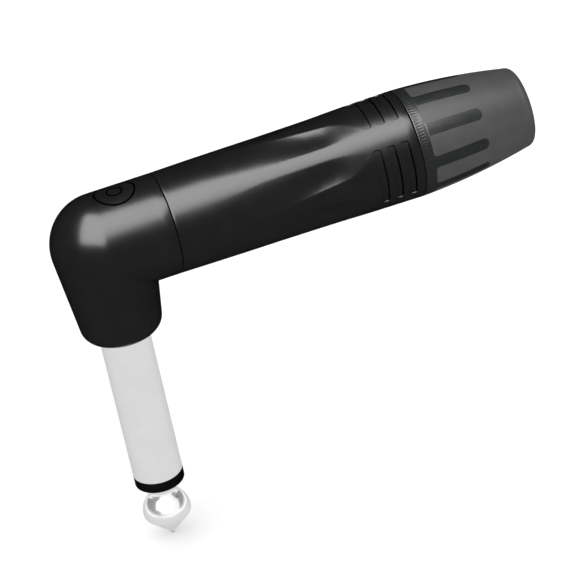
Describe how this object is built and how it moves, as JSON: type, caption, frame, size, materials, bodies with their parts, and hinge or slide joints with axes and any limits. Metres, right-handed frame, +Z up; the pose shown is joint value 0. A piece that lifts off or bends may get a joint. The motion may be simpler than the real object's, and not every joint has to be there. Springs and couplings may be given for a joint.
{
  "type": "right-angle phone plug",
  "caption": "Right-angle quarter-inch phone plug: metal elbow head, straight barrel with grooved thumb recesses, and a screw-on soft cable boot.",
  "frame": {"origin": "middle of the seating face under the head, on the axis of the plug finger", "axes": "+Z up, away from the plug finger, which points down; +X along the barrel towards the cable; +Y completes a right-handed set"},
  "size_m": [0.0614, 0.0136, 0.0501],
  "materials": {
    "satin_black": "satin black coating on die-cast metal",
    "nickel": "bright nickel plate with fine turning lines",
    "black_plastic": "smooth black moulded plastic",
    "dark_plastic": "hard dark glass-filled plastic, semi-gloss",
    "soft_grey": "soft grey moulding, matt",
    "white_plastic": "natural white acetal",
    "brass": "stamped brass"
  },
  "bodies": {
    "housing": {"angle_head": "satin_black", "barrel_shell": "satin_black", "plug_sleeve": "nickel", "tip_contact": "nickel", "tip_insulator": "black_plastic", "rod_insulator": "white_plastic", "sleeve_lock_ring": "nickel", "insulating_washer": "white_plastic", "retaining_washer": "brass", "tip_terminal": "brass", "ground_terminal": "brass", "terminal_rivet": "brass", "terminal_carrier": "black_plastic"},
    "chuck": {"chuck": "white_plastic"},
    "boot": {"boot_bushing": "dark_plastic", "boot_sleeve": "soft_grey"}
  },
  "joints": [
    {"name": "chuck_slide", "type": "slide", "parent": "housing", "child": "chuck", "axis": [1, 0, 0], "range_m": [0, 0.005]},
    {"name": "boot_turn", "type": "hinge", "parent": "chuck", "child": "boot", "pos_m": [0.04, 0, 0.01242], "axis": [1, 0, 0], "range_deg": [0, 1800]}
  ],
  "couplings": [
    {"joint": "boot_turn", "follows": "chuck_slide", "rad_per_m": 6283.2}
  ]
}
